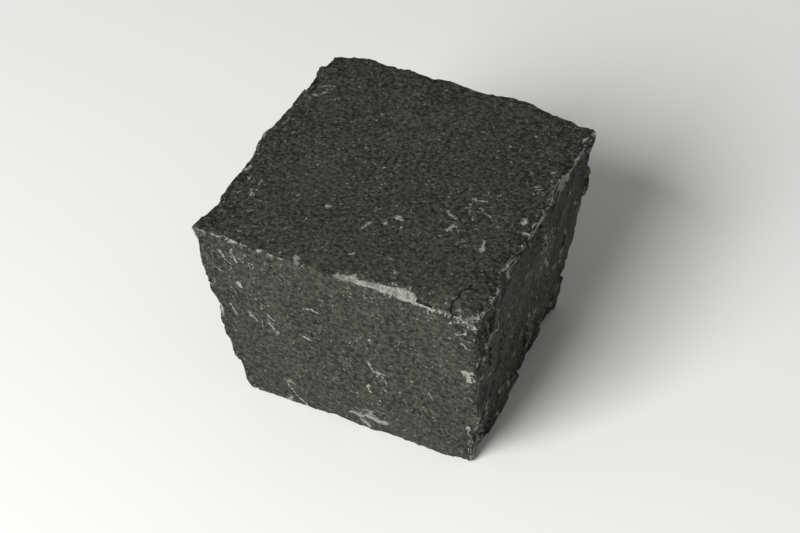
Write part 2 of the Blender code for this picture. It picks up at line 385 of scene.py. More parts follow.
# The material's patterns. A name that ends in CLOUD is a cloudy variation's size in metres, its
# detail and its roughness; STEP and LINE are where a soft step starts and ends
# Grain, which takes its size from the finish: cloud, and the crystals' size and tint
GRAIN_CLOUD = (3.0, 0.62)
GRAIN_STEP = (0.36, 0.66)
CRYSTAL_SHARE = 0.55
CRYSTAL_TINT = 0.55
GRAIN_TINT = 0.65
# Broad clouds of tone; painted shade by the plates' height on the rough sides, darker on the low plates
# and lighter on the high; painted shade that darkens the rough sides; and a darker tone over all the
# stone
TONE_CLOUD = (0.018, 5.0, 0.6)
TONE_SHARE = 0.4
PLATE_PAINTED_SHADE = 0.16
SIDE_PAINTED_SHADE = 0.24
ALL_SHADE = 0.24
# Flecks: cell size, rarity and spread, then strength
SMALL_FLECKS = ((0.0013, 0.80, 0.42), 0.42)
LARGE_FLECKS = ((0.0036, 0.85, 0.18), 0.85)
FLECK_SOFTNESS = 0.04
FLECK_CORE = 0.4
WARP_SIZE = 0.0012
WARP_REACH = 0.0008
# Strokes and dust of the bruises
STROKE_CLOUD = (0.0036, 2.0, 0.55)
STROKE_LINE = (0.040, 0.012)
STROKE_BREAKS = (0.0026, 3.0, 0.6)
STROKE_BRUISE = 0.22
STROKE_STEP = (0.64, 0.72)
BRUISE_CLOUD = (0.0012, 3.0, 0.6)
BRUISE_DUST = 0.20
BRUISE_STEP = (0.74, 0.86)
# Scratches and cracks: how they bend and fray, and the grit that breaks them up
BEND_CLOUD = (0.0030, 1.0, 0.5)
BEND_REACH = 0.0030
FRAY_CLOUD = (0.0009, 4.0, 0.75)
FRAY_MIDDLE = 0.44
SCRATCH_FRAY = 0.0026
CRACK_FRAY = 0.0008
THINNEST = 0.0001
SCRATCH_STEP = (0.95, 0.30)
GRIT_CLOUD = (0.0007, 3.0, 0.6)
GRIT_FORCE = 0.32
GRIT_STEP = (0.50, 0.76)
CRACK_DARKNESS = -4.0
# Wear: the worn edges' line, the lips of the chips there and the plates' rims
WEAR_CLOUD = (0.0032, 4.0, 0.65)
WEAR_FRAY_CLOUD = (0.0009, 3.0, 0.6)
WEAR_AMOUNT = 0.14
EDGE_FRAY = 0.0010
EDGE_LINE = (0.00115, 0.00060)
EDGE_STEP = (0.54, 0.72)
LIP_START = (0.00001, 0.00006)
LIP_END = (0.00020, 0.00045)
LIP_STEP = (0.56, 0.72)
RIM_FRAY = 0.0008
RIM_LINE = (0.00095, 0.00050)
RIM_STEP = (0.51, 0.62)
RIM_SHARE = 0.8
# Powder in the crushed chips, streaked
POWDER_CLOUD = (0.0013, 4.0, 0.65)
POWDER_BREAKS = 0.7
POWDER_CRUSHED = 0.60
POWDER_STEP = (1.10, 1.40)
STREAK_CLOUD = (0.0015, 4.0, 0.7)
STREAK_STEP = (0.34, 0.64)
STREAK_SHARE = 0.55
DUST_SHARE = 0.5
# Unevenness within all pale stone but the scratches, and the finish of pale stone
PALE_CLOUD = (0.0008, 3.0, 0.6)
PALE_STEP = (0.15, 0.55)
PALE_ROUGHNESS = 0.12
PALE_HEIGHT = 0.5
HEIGHT_CLOUD = (0.0024, 3.0, 0.5)
HEIGHT_SHARE = 2.0

FLOOR_ROUGHNESS = 0.9
FLOOR_SHINE = 0.2
# In millimetres, as the lens is
SENSOR_WIDTH = 36.0


class CobblestoneShape(bpy.types.PropertyGroup):
    """Size and form of the stone."""

    head_width: FloatProperty(
        name="Head Width",
        description="Width of the block at the top, from left to right",
        default=float(STONE_SIZE[0]),
        unit="LENGTH",
    )
    head_depth: FloatProperty(
        name="Head Depth",
        description="Depth of the block at the top, from front to back",
        default=float(STONE_SIZE[1]),
        unit="LENGTH",
    )
    height: FloatProperty(
        name="Height",
        description="Height from the underside to the head",
        default=float(STONE_SIZE[2]),
        unit="LENGTH",
    )
    foot_width_share: FloatProperty(
        name="Foot Width",
        description="Width of the foot as a share of the head's",
        default=0.824,
        subtype="FACTOR",
    )
    foot_depth_share: FloatProperty(
        name="Foot Depth",
        description="Depth of the foot as a share of the head's",
        default=0.802,
        subtype="FACTOR",
    )
    side_bow: FloatProperty(
        name="Side Bow",
        description="How far the sides bow outwards at mid height",
        default=0.0016,
        unit="LENGTH",
    )
    edge_radius: FloatProperty(
        name="Edge Radius",
        description="Rounding of the edges before they are chipped",
        default=0.0007,
        unit="LENGTH",
    )
    foot_sink: FloatProperty(
        name="Foot Sink",
        description="How much of the underside's roughness is flattened where it rests",
        default=0.0022,
        unit="LENGTH",
    )
    swell_cell: FloatProperty(
        name="Swell Length",
        description="Length of the broad swells of the faces",
        default=0.034,
        unit="LENGTH",
    )
    scallop_cell: FloatProperty(
        name="Bowl Width",
        description="Width of the shallow bowls left by the splitting",
        default=0.023,
        unit="LENGTH",
    )
    plate_cell: FloatProperty(
        name="Plate Width",
        description="Width of the small broken plates of the faces",
        default=0.0085,
        unit="LENGTH",
    )
    grit_cell: FloatProperty(
        name="Grit Size",
        description="Size of the grit that roughens every face",
        default=0.0026,
        unit="LENGTH",
    )
    grid_step: FloatProperty(
        name="Grid Step",
        description="Average distance between the surface's points",
        default=0.00075,
        unit="LENGTH",
    )
    edge_gather: FloatProperty(
        name="Edge Gather",
        description="How much closer the surface's points lie near the edges",
        default=0.60,
        subtype="FACTOR",
    )


class BasaltFinish(bpy.types.PropertyGroup):
    """Colours and texture of the basalt."""

    dark_stone: FloatVectorProperty(
        name="Dark Stone",
        description="Darkest tone of the sound stone",
        default=(0.0032, 0.0032, 0.0026),
        size=3,
        subtype="COLOR",
    )
    light_stone: FloatVectorProperty(
        name="Light Stone",
        description="Lightest tone of the sound stone",
        default=(0.0640, 0.0640, 0.0515),
        size=3,
        subtype="COLOR",
    )
    fleck_colour: FloatVectorProperty(
        name="Flecks",
        description="Pale mineral flecks",
        default=(0.200, 0.198, 0.172),
        size=3,
        subtype="COLOR",
    )
    crushed_colour: FloatVectorProperty(
        name="Crushed Stone",
        description="Stone crushed to pale dust at bruises and edges",
        default=(0.265, 0.265, 0.243),
        size=3,
        subtype="COLOR",
    )
    crack_colour: FloatVectorProperty(
        name="Cracks",
        description="Tone inside the hairline cracks",
        default=(0.003, 0.003, 0.003),
        size=3,
        subtype="COLOR",
    )
    shine: FloatProperty(
        name="Shine",
        description="Strength of the stone's reflections",
        default=0.30,
        subtype="FACTOR",
    )
    grain_size: FloatProperty(
        name="Grain Size",
        description="Size of the mineral grains",
        default=0.0014,
        unit="LENGTH",
    )
    roughness: FloatProperty(
        name="Roughness",
        description="Roughness of the sound stone",
        default=0.78,
        subtype="FACTOR",
    )
    bump_height: FloatProperty(
        name="Grain Relief",
        description="Height of the grains above one another",
        default=0.00014,
        unit="LENGTH",
    )


class StageSettings(bpy.types.PropertyGroup):
    """Camera, floor and lights."""

    camera_azimuth: FloatProperty(
        name="Camera Azimuth",
        description="Turn of the camera to the right of the front face",
        default=math.radians(25.98),
        subtype="ANGLE",
    )
    camera_elevation: FloatProperty(
        name="Camera Elevation",
        description="Height of the camera above the horizon",
        default=math.radians(42.11),
        subtype="ANGLE",
    )
    camera_distance: FloatProperty(
        name="Camera Distance",
        description="Distance from the camera to the point that it looks at",
        default=0.668,
        unit="LENGTH",
    )
    camera_lens: FloatProperty(
        name="Lens",
        description="Focal length on a 36 mm wide sensor",
        default=90.0,
        subtype="DISTANCE_CAMERA",
    )
    aim: FloatVectorProperty(
        name="Aim",
        description="Point that the camera looks at, from the middle of the underside",
        default=(0.0, -0.002, 0.036),
        size=3,
        subtype="TRANSLATION",
    )
    floor_colour: FloatVectorProperty(
        name="Floor",
        description="Pale tone of the floor and the surroundings",
        default=(0.84, 0.84, 0.83),
        size=3,
        subtype="COLOR",
    )
    floor_size: FloatProperty(
        name="Floor Size",
        description="Length of the floor's sides",
        default=12.0,
        unit="LENGTH",
    )
    surround_strength: FloatProperty(
        name="Surround Strength",
        description="Brightness of the even light from all round",
        default=0.30,
    )
    key_azimuth: FloatProperty(
        name="Key Azimuth",
        description="Turn of the main light to the right of the front face",
        default=math.radians(-14.0),
        subtype="ANGLE",
    )
    key_elevation: FloatProperty(
        name="Key Elevation",
        description="Height of the main light above the horizon",
        default=math.radians(36.0),
        subtype="ANGLE",
    )
    key_distance: FloatProperty(
        name="Key Distance",
        description="Distance from the main light to the stone",
        default=1.6,
        unit="LENGTH",
    )
    key_size: FloatProperty(
        name="Key Size",
        description="Width of the main light's panel",
        default=0.80,
        unit="LENGTH",
    )
    key_power: FloatProperty(
        name="Key Power",
        description="Power of the main light",
        default=36.0,
        unit="POWER",
    )


def hashed(cells, seed):
    """A number from 0 to 1 for each whole-number cell, always the same for the same cell."""
    mixed = cells[:, 0] * HASH_FACTORS[0] ^ cells[:, 1] * HASH_FACTORS[1] ^ cells[:, 2] * HASH_FACTORS[2]
    mixed = (mixed + seed * HASH_MIX) % HASH_SPAN
    mixed = (mixed ^ (mixed >> HASH_SHIFT)) * HASH_MIX % HASH_SPAN
    mixed = (mixed ^ (mixed >> HASH_SHIFT)) * HASH_MIX % HASH_SPAN
    return mixed / HASH_SPAN


def swell(points, cell, seed):
    """Smooth waves from -1 to 1: hashed heights at the cells' corners, blended between them."""
    scaled = points / cell
    base = np.floor(scaled).astype(np.int64)
    part = scaled - base
    ease = part * part * (3.0 - 2.0 * part)
    total = np.zeros(len(points))
    for step in np.ndindex(2, 2, 2):
        side = np.array(step)
        weight = np.prod(np.where(side, ease, 1.0 - ease), axis=1)
        total += weight * hashed(base + side, seed)
    return 2.0 * total - 1.0


def split_cells(points, cell, seed):
    """The cell each point falls in, its seed point being nearest, and how the point lies in it.

    Gives the cell's whole numbers, the way from its seed point, and how much further off the next
    seed point is. Way and distance are in cells.
    """
    scaled = points / cell
    base = np.floor(scaled).astype(np.int64)
    nearest = np.full(len(points), np.inf)
    second = np.full(len(points), np.inf)
    owner = np.zeros_like(base)
    way = np.zeros_like(scaled)
    for step in np.ndindex(3, 3, 3):
        neighbour = base + np.array(step) - 1
        spot = np.stack([hashed(neighbour, seed + axis) for axis in range(3)], axis=1)
        arm = scaled - neighbour - spot
        gap = np.sum(arm**2, axis=1)
        closer = gap < nearest
        second = np.minimum(second, np.maximum(nearest, gap))
        nearest = np.minimum(nearest, gap)
        owner[closer] = neighbour[closer]
        way[closer] = arm[closer]
    return owner, way, np.sqrt(second) - np.sqrt(nearest)


def scallops(points, cell, seed):
    """Shallow bowls meeting in ridges, from 0 on a ridge to -1 at a bowl's middle."""
    _owner, way, _ridge = split_cells(points, cell, seed)
    return np.minimum(np.sum(way**2, axis=1), 1.0) - 1.0


def plates(points, cell, seed):
    """Broken plates, each at its own hashed level and tilt: their height, and how far in each
    point lies from its plate's rim.

    A plate's height is a level from -1 to 1, plus its tilt times the way from its seed point.
    """
    owner, way, ridge = split_cells(points * PLATE_STRETCH, cell, seed)
    level = 2.0 * hashed(owner, seed + LEVEL_SEED_STEP) - 1.0
    seeds = [seed + SLOPE_SEED_STEP + axis for axis in range(3)]
    slope = np.stack([2.0 * hashed(owner, its_seed) - 1.0 for its_seed in seeds], axis=1)
    return level + PLATE_TILT * np.sum(slope * way, axis=1), ridge * cell


def skin_grid(counts):
    """The points and faces of a cube's skin, counted in whole steps along its three edges.

    Each of the six sides is a grid over its two directions. Points on a shared edge are the same
    whole numbers, so they are kept once, which closes the skin. Faces are four-sided and wind
    anticlockwise seen from outside. The faces of the six sides follow one another.
    """
    points, faces, used = [], [], 0
    for across in range(3):
        first, second = (across + 1) % 3, (across + 2) % 3
        for far in (False, True):
            one, two = np.meshgrid(
                np.arange(counts[first] + 1), np.arange(counts[second] + 1), indexing="ij"
            )
            side = np.empty(one.shape + (3,), dtype=np.int64)
            side[..., first] = one
            side[..., second] = two
            side[..., across] = counts[across] if far else 0
            index = used + np.arange(one.size).reshape(one.shape)
            quads = np.stack([index[:-1, :-1], index[1:, :-1], index[1:, 1:], index[:-1, 1:]], axis=-1)
            quads = quads.reshape(-1, 4)
            points.append(side.reshape(-1, 3))
            faces.append(quads if far else quads[:, ::-1])
            used += one.size
    points, keep = np.unique(np.concatenate(points), axis=0, return_inverse=True)
    return points, keep.reshape(-1)[np.concatenate(faces)]


def side_patches(counts, gathered, faces):
    """Each face corner's place on a flat map, where the cube's sides lie in three columns, two rows.

    A corner's place in its patch is where it lies along the side's two directions, from 0 to 1. A
    side seen from its back is mirrored, so that no patch is inside out.
    """
    places = np.empty(faces.shape + (2,))
    begin = 0
    for across in range(3):
        first, second = (across + 1) % 3, (across + 2) % 3
        for row in (0, 1):
            end = begin + counts[first] * counts[second]
            corner = (gathered[faces[begin:end]] + 1.0) / 2.0
            one = corner[..., first] if row else 1.0 - corner[..., first]
            patch = np.stack([one, corner[..., second]], axis=-1)
            patch = PATCH_MARGIN + patch * (1.0 - 2.0 * PATCH_MARGIN)
            places[begin:end] = (patch + (across, row)) / MAP_PATCHES
            begin = end
    return places


def block_corner(shape, side):
    """The place of one corner of the tapered block, side being -1 or 1 along each axis."""
    if side[2] > 0:
        width, depth, level = shape.head_width, shape.head_depth, shape.height
        shift = HEAD_CORNER_SHIFTS[(side[0], side[1])]
    else:
        width = shape.head_width * shape.foot_width_share
        depth = shape.head_depth * shape.foot_depth_share
        level = 0.0
        shift = FOOT_CORNER_SHIFTS[(side[0], side[1])]
    return np.array([side[0] * width / 2, side[1] * depth / 2, level]) + np.array(shift)


def on_block(shape, spots):
    """Places in the tapered block for spots from -1 to 1 each way, blended from its corners.

    The sides bow outwards between head and foot, most at mid height.
    """
    place = np.zeros_like(spots)
    for step in np.ndindex(2, 2, 2):
        side = tuple(int(2 * part - 1) for part in step)
        weight = np.prod((1.0 + spots * np.array(side)) / 2.0, axis=1)
        place += weight[:, None] * block_corner(shape, side)
    bow = shape.side_bow * (1.0 - spots[:, 2] ** 2)
    place[:, 0] += bow * spots[:, 0]
    place[:, 1] += bow * spots[:, 1]
    return place


def outward(spots):
    """Unit directions out of the block, square to each face and turning round its edges."""
    steep = spots**DIRECTION_POWER
    return steep / np.linalg.norm(steep, axis=1)[:, None]


def rounded(shape, spots):
    """Spots on the cube with its edges rounded: drawn in to an inner cube, then out by the radius."""
    half = STONE_SIZE / 2
    radius = shape.edge_radius
    surface = spots * half
    core = np.clip(surface, radius - half, half - radius)
    arm = surface - core
    return (core + radius * arm / np.linalg.norm(arm, axis=1)[:, None]) / half


def edge_distance(spots):
    """Distance from each spot on the cube's skin to its nearest edge, in metres.

    On the skin one direction is at its end, so the edge is where the second direction is too.
    """
    gaps = np.sort((1.0 - np.abs(spots)) * STONE_SIZE / 2, axis=1)
    return gaps[:, 1]


def face_relief(shape, spots, places):
    """How far each point stands out of its face, its plate's level, and its distance from the rim.

    The height is swells, plates and grit, less bowls, each as high as the face has them.
    """
    plate, ridge = plates(places, shape.plate_cell, PLATE_SEED)
    layers = (
        swell(places, shape.swell_cell, SWELL_SEED),
        scallops(places, shape.scallop_cell, SCALLOP_SEED),
        plate,
        swell(places, shape.grit_cell, GRIT_SEED),
    )
    height = np.zeros(len(spots))
    for facing, *heights in FACE_RELIEF.values():
        share = np.clip(spots @ np.array(facing, dtype=float), 0.0, 1.0) ** RELIEF_POWER
        for layer, layer_height in zip(layers, heights):
            height += share * layer_height * layer
    return height, plate, ridge


def rough_side(spots):
    """How much each point belongs to the three rough sides: 1 there, 0 on head, foot and front."""
    share = np.zeros(len(spots))
    for name in ("right", "back", "left"):
        facing = np.array(FACE_RELIEF[name][0], dtype=float)
        share += np.clip(spots @ facing, 0.0, 1.0) ** DIRECTION_POWER
    return np.clip(share, 0.0, 1.0)


def face_spot(face, middle):
    """The spot on the block that lies so far across and up a face."""
    return np.array(FACE_RELIEF[face][0]) + np.array(middle) @ np.array(FACE_AXES[face])


def mark_ends(face, middle, turn, length):
    """The two ends of a straight mark on a face, as spots on the block."""
    turn = math.radians(turn)
    run = np.array((math.cos(turn), math.sin(turn))) @ np.array(FACE_AXES[face]) * length / STONE_SIZE
    spot = face_spot(face, middle)
    return np.clip(spot - run, -1.0, 1.0), np.clip(spot + run, -1.0, 1.0)


def placed_marks():
    """The marks of the list: each one's two ends, width and strength."""
    marks = []
    for face, listed in MARKS.items():
        for _name, middle, turn, length, width, strength in listed:
            marks.append((*mark_ends(face, middle, turn, length), width, strength))
    return marks


def drawn_marks():
    """Further marks by a seeded draw: each one's two ends, width and strength.

    A mark lies in one of its face's bruised patches, or now and then anywhere on the face. Short
    ones are the most frequent.
    """
    draw = np.random.default_rng(DRAWN_SEED)
    marks = []
    for face, (count, lay) in DRAWN_MARKS.items():
        patches = BRUISES[face]
        half = np.abs(np.array(FACE_AXES[face])) @ STONE_SIZE / 2
        for _number in range(count):
            _name, middle, reach, _strength = patches[draw.integers(len(patches))]
            if draw.random() < DRAWN_LOOSE:
                middle = draw.uniform(-DRAWN_SPAN, DRAWN_SPAN, 2)
            else:
                middle = np.array(middle) + draw.uniform(-1.0, 1.0, 2) * reach / half
            turn = lay + draw.normal() * DRAWN_TURN_SPREAD
            sizes = []
            for low, high in (DRAWN_LENGTHS, DRAWN_WIDTHS, DRAWN_STRENGTHS):
                sizes.append(low + (high - low) * draw.random() ** 2)
            length, width, strength = sizes
            middle = np.clip(middle, -DRAWN_LIMIT, DRAWN_LIMIT)
            marks.append((*mark_ends(face, middle, turn, length), width, strength))
    return marks


def crack_lines():
    """The crack round the flake as short straight lines, each by its two ends on the block."""
    middle, radius, first, last, steps = CRACK_ARC
    angles = np.radians(np.linspace(first, last, steps + 1))
    points = np.ones((steps + 1, 3))
    points[:, 0] = middle[0] + radius * np.cos(angles) / (STONE_SIZE[0] / 2)
    points[:, 1] = np.maximum(middle[1] + radius * np.sin(angles) / (STONE_SIZE[1] / 2), -1.0)
    return list(zip(points[:-1], points[1:]))


class Stone:
    """The stone's points while they are worked, with what has been done to each."""

    def __init__(self, shape, spots):
        self.shape = shape
        self.spots = spots
        self.places = on_block(shape, spots)
        self.cut = np.zeros(len(spots))
        self.crushed = np.zeros(len(spots))

    def nearest(self, spot):
        """The stone's own point nearest to a spot on the block."""
        return self.places[np.argmin(np.sum((self.spots - spot) ** 2, axis=1))].copy()

    def scar(self, middle, direction, width, depth, paleness):
        """Hollows the points inside a ball down to its skin.

        The ball comes in along the direction, and cuts a bowl of the given width and depth. It
        crushes the stone where it cuts deepest, and less towards the bowl's rim.
        """
        radius = (width**2 / 4 + depth**2) / (2 * depth)
        centre = middle + direction * (radius - depth)
        arm = self.places - centre
        reach = np.linalg.norm(arm, axis=1)
        inside = np.flatnonzero(reach < radius)
        gone = radius - reach[inside]
        self.places[inside] += arm[inside] * (gone / reach[inside])[:, None]
        self.cut[inside] += gone
        crushed = paleness * np.clip(gone / CRUSH_DEPTH, 0.0, 1.0)
        self.crushed[inside] = np.maximum(self.crushed[inside], crushed)

    def rim(self, spot, free, direction):
        """The stone's point near a spot on an edge that stands out furthest in the direction.

        It is looked for a little way round the edge, and less far along the free direction.
        """
        near = np.abs(self.spots - spot)
        near[:, free] *= RIM_ROUND / RIM_ALONG
        near = np.flatnonzero(near.max(axis=1) < RIM_ROUND)
        return self.places[near[np.argmax(self.places[near] @ direction)]].copy()

    def chip(self, start, end, along, length, depth, lean, paleness, on_skin):
        """Chips the edge between two corners of the block, measured in from the skin or the block."""
        start, end = np.array(start, dtype=float), np.array(end, dtype=float)
        spot = start + (end - start) * along
        faces = np.flatnonzero(start == end)
        direction = np.zeros(3)
        direction[faces[0]] = start[faces[0]] * (1.0 + lean)
        direction[faces[1]] = start[faces[1]] * (1.0 - lean)
        direction /= np.linalg.norm(direction)
        if on_skin:
            middle = self.rim(spot, 3 - faces.sum(), direction)
        else:
            middle = on_block(self.shape, spot[None, :])[0]
        self.scar(middle, direction, length, depth, paleness)

    def blunt_corners(self):
        """Knocks every corner of the stone blunt."""
        width, depth = CORNER_SCAR
        for ends in np.ndindex(2, 2, 2):
            corner = 2.0 * np.array(ends) - 1.0
            direction = corner / np.linalg.norm(corner)
            near = np.flatnonzero(np.abs(self.spots - corner).max(axis=1) < RIM_ROUND)
            middle = self.places[near[np.argmax(self.places[near] @ direction)]].copy()
            self.scar(middle, direction, width, depth, 0.0)

    def by_nearest_scratch(self):
        """How each point lies by its nearest scratch or crack.

        The values are its place along the scratch and across it, then the scratch's half length,
        width and force. A crack's force is -1, and the force is 0 out of reach of them all.
        """
        nearest = np.full(len(self.places), SCRATCH_REACH)
        kept = {name: np.zeros(len(self.places)) for name in SCRATCH_VALUES}
        cracks = [(start, end, CRACK_WIDTH, -1.0) for start, end in crack_lines()]
        for start, end, width, force in drawn_marks() + placed_marks() + cracks:
            ends = [self.nearest(spot) for spot in (start, end)]
            middle = (ends[0] + ends[1]) / 2
            half = np.linalg.norm(ends[1] - ends[0]) / 2
            along = (ends[1] - ends[0]) / (2 * half + TINY)
            across = np.cross(along, outward(start[None, :])[0])
            arm = self.places - middle
            past = np.maximum(np.abs(arm @ along) - half, 0.0)
            side = np.linalg.norm(arm - np.outer(arm @ along, along), axis=1)
            gap = np.hypot(past, side)
            chosen = gap < nearest
            nearest[chosen] = gap[chosen]
            values = (arm @ along, arm @ across, half, width, force)
            for name, value in zip(SCRATCH_VALUES, values):
                kept[name][chosen] = value[chosen] if np.ndim(value) else value
        return kept

    def crack_distance(self):
        """Distance from each point to the nearest stretch of the crack."""
        distance = np.full(len(self.places), np.inf)
        for spots in crack_lines():
            start, end = (self.nearest(spot) for spot in spots)
            run = end - start
            share = np.clip((self.places - start) @ run / (run @ run + TINY), 0.0, 1.0)
            foot = start + share[:, None] * run
            distance = np.minimum(distance, np.linalg.norm(self.places - foot, axis=1))
        return distance

    def sink_flake(self):
        """Lowers the loose flake, with a steep rim, against the outward directions."""
        spot, reach, drop = FLAKE
        gap = np.linalg.norm(self.places - self.nearest(np.array(spot)), axis=1)
        share = np.clip((reach - gap) / FLAKE_RIM, 0.0, 1.0)
        self.places -= outward(self.spots) * (share * drop)[:, None]

    def open_cracks(self):
        """Sinks a groove along the crack, deepest on its line."""
        share = np.clip(1.0 - self.crack_distance() / CRACK_REACH, 0.0, 1.0)
        self.places -= outward(self.spots) * (share * CRACK_DEPTH)[:, None]


def cube_edges():
    """The twelve edges of the block, each as its two corners."""
    edges = []
    for axis in range(3):
        for ends in np.ndindex(2, 2):
            start = np.insert(2 * np.array(ends) - 1, axis, -1)
            end = np.insert(2 * np.array(ends) - 1, axis, 1)
            edges.append((start, end))
    return edges


def small_chips(stone):
    """Knocks small chips off every edge, one after another, by a seeded draw."""
    draw = np.random.default_rng(SMALL_CHIP_SEED)
    shortest, longest = SMALL_CHIP_LENGTHS
    shallowest, deepest = SMALL_CHIP_DEPTHS
    for start, end in cube_edges():
        corners = on_block(stone.shape, np.array([start, end], dtype=float))
        edge_length = np.linalg.norm(corners[1] - corners[0])
        along = SMALL_CHIP_CLEAR
        while along < edge_length - SMALL_CHIP_CLEAR:
            size = draw.random() ** 2
            length = shortest + (longest - shortest) * size
            depth = shallowest + (deepest - shallowest) * draw.random() ** 2
            depth = min(depth, length * SMALL_CHIP_STEEPEST)
            lean = draw.uniform(-SMALL_CHIP_LEAN, SMALL_CHIP_LEAN)
            paleness = draw.random() ** 2
            if draw.random() < SMALL_CHIP_CHANCE:
                share = along / edge_length
                stone.chip(start, end, share, length, depth, lean, paleness, on_skin=True)
            along += length * SMALL_CHIP_STEP


def edge_worn(spots):
    """How worn each point's edge is, from 0 off the listed stretches, softly ended along them."""
    worn = np.zeros(len(spots))
    for edge, _which, stretch, force in WORN_EDGES:
        start, end = np.array(EDGES[edge], dtype=float)
        fixed = start == end
        off = np.abs(spots - start)[:, fixed].max(axis=1)
        along = (spots - start) @ (end - start) / ((end - start) @ (end - start))
        inner = np.minimum(along - stretch[0], stretch[1] - along)
        share = np.clip(inner / WORN_REACH + 0.5, 0.0, 1.0) * (off < WORN_REACH)
        worn = np.maximum(worn, force * share)
    return worn


def bruise_strength(shape, places):
    """How bruised each point is, from 0 to 1: full at a patch's middle, none past its reach."""
    strength = np.zeros(len(places))
    for face, patches in BRUISES.items():
        across, up = np.abs(FACE_AXES[face])
        through = (1 - across - up) * BRUISE_THICKNESS
        for _name, middle, reach, force in patches:
            middle = on_block(shape, face_spot(face, middle)[None, :])[0]
            reach = across * reach[0] + up * reach[1] + through
            gap = np.sum(((places - middle) / reach) ** 2, axis=1)
            strength = np.maximum(strength, force * np.clip(1.0 - gap, 0.0, 1.0))
    return strength


def flatten_foot(shape, places):
    """Flattens the underside, on which the stone rests, at the level of its base."""
    places[:, 2] = np.maximum(places[:, 2] - shape.foot_sink, 0.0)


def seat_in_frame(shape, places):
    """Fits the stone to its box in the frame."""
    places[:, 2] *= shape.height / places[:, 2].max()
    middle = (places.max(axis=0) + places.min(axis=0)) / 2
    places[:, :2] += (STONE_MIDDLE - middle)[:2]
    places[:, 2] += STONE_LOW[2]


def stone_surface(shape):
    """The whole skin: its points, its faces, the values kept at each point and its flat map.

    The cube's grid is gathered towards the edges, rounded, carried onto the tapered block, pushed
    out or in by the relief along the outward directions, then scarred and chipped.
    """
    counts = np.round(STONE_SIZE / shape.grid_step).astype(int)
    steps, faces = skin_grid(counts)
    even = 2.0 * steps / counts - 1.0
    gathered = (1.0 - shape.edge_gather) * even + shape.edge_gather * np.sin(even * math.pi / 2)
    spots = rounded(shape, gathered)
    stone = Stone(shape, spots)
    height, plate, ridge = face_relief(shape, spots, stone.places)
    stone.places += outward(spots) * height[:, None]
    for _name, spot, width, depth, paleness in FACE_SCARS:
        point = np.array(spot)[None, :]
        stone.scar(on_block(shape, point)[0], outward(point)[0], width, depth, paleness)
    for edge, _which, along, length, depth, lean, paleness in EDGE_CHIPS:
        stone.chip(*EDGES[edge], along, length, depth, lean, paleness, on_skin=False)
    flatten_foot(shape, stone.places)
    for _name, spot, width, depth, paleness in SKIN_SCARS:
        point = np.array(spot)
        stone.scar(stone.nearest(point), outward(point[None, :])[0], width, depth, paleness)
    for edge, _which, along, length, depth, lean, paleness in SKIN_CHIPS:
        stone.chip(*EDGES[edge], along, length, depth, lean, paleness, on_skin=True)
    stone.blunt_corners()
    small_chips(stone)
    stone.sink_flake()
    stone.open_cracks()
    point_values = {
        "edge_distance": edge_distance(gathered),
        "ridge_distance": ridge,
        "plate": plate,
        "side": rough_side(spots),
        "worn": edge_worn(spots),
        "cut": stone.cut,
        "crushed": stone.crushed,
        "bruise": bruise_strength(shape, stone.places),
        **stone.by_nearest_scratch(),
    }
    seat_in_frame(shape, stone.places)
    return stone.places, faces, point_values, side_patches(counts, gathered, faces)


def mesh_object(name, points, faces, point_values):
    """Puts a surface into a new mesh object at the origin, with the values kept at its points."""
    mesh = bpy.data.meshes.new(name)
    mesh.from_pydata(points.tolist(), [], faces.tolist())
    for value_name, values in point_values.items():
        layer = mesh.attributes.new(value_name, "FLOAT", "POINT")
        layer.data.foreach_set("value", values.astype(np.float32))
    mesh.shade_smooth()
    item = bpy.data.objects.new(name, mesh)
    bpy.context.scene.collection.objects.link(item)
    return item


